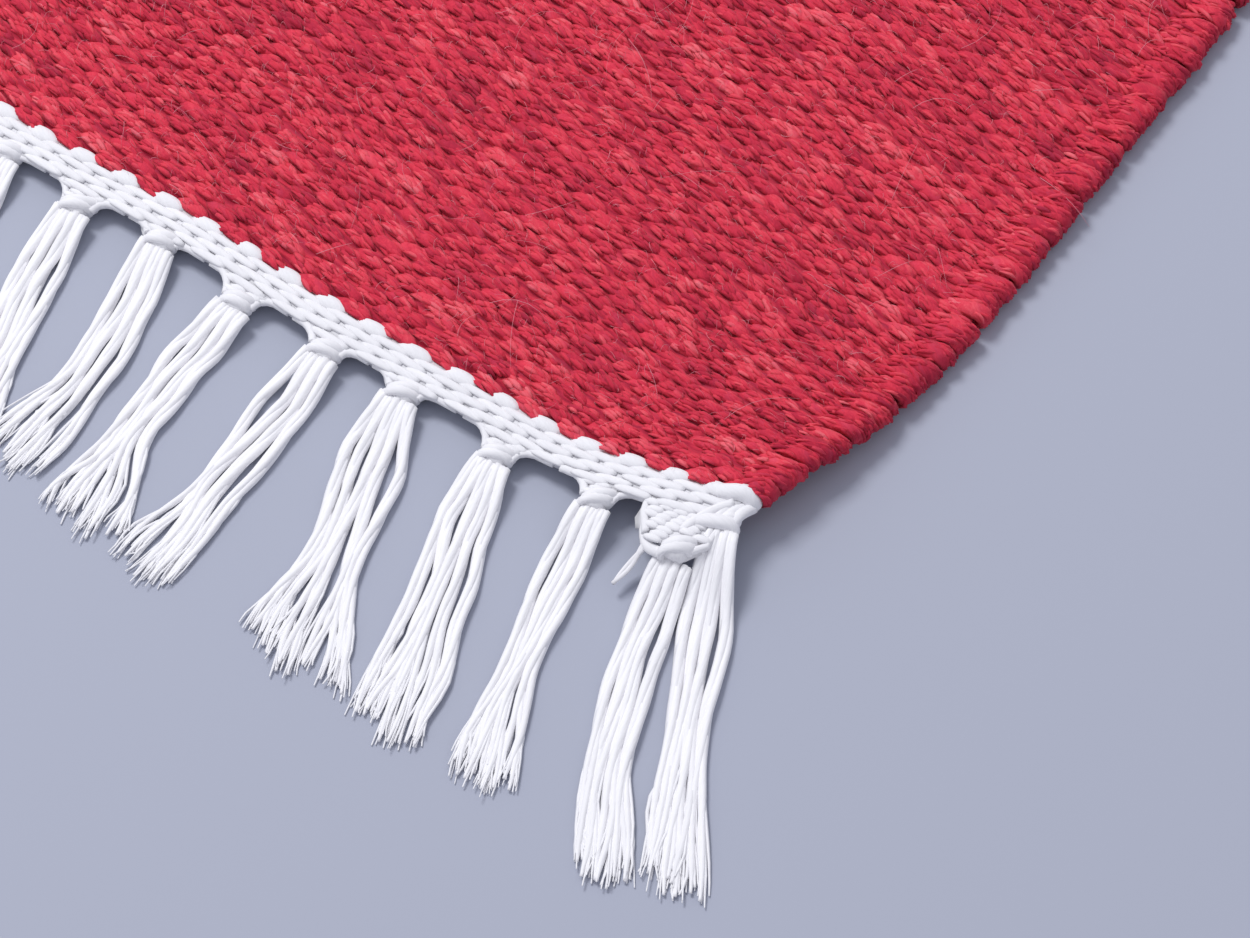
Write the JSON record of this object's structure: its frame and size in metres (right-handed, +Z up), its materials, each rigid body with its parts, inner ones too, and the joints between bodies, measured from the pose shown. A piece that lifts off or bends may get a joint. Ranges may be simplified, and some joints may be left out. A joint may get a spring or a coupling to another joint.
{
  "type": "dhurrie rug",
  "caption": "Flatwoven wool rug lying flat, with a cotton band and knotted cotton tassels at both ends.",
  "frame": {"origin": "on the floor under the middle of the rug", "axes": "+X across the width, along the weft rows and the cotton bands; +Y along the length, along the warps; +Z up from the floor. The corner at +X, -Y is the one that lifts most."},
  "size_m": [0.6531, 1.0553, 0.0114],
  "materials": {
    "red_wool": "handspun wool weft, weft-faced plain weave, matt and a little hairy",
    "white_cotton": "undyed plied cotton cord, matt"
  },
  "bodies": {
    "root": {"rug_field": "red_wool", "end_band_front": "white_cotton", "end_band_back": "white_cotton"}
  },
  "joints": []
}
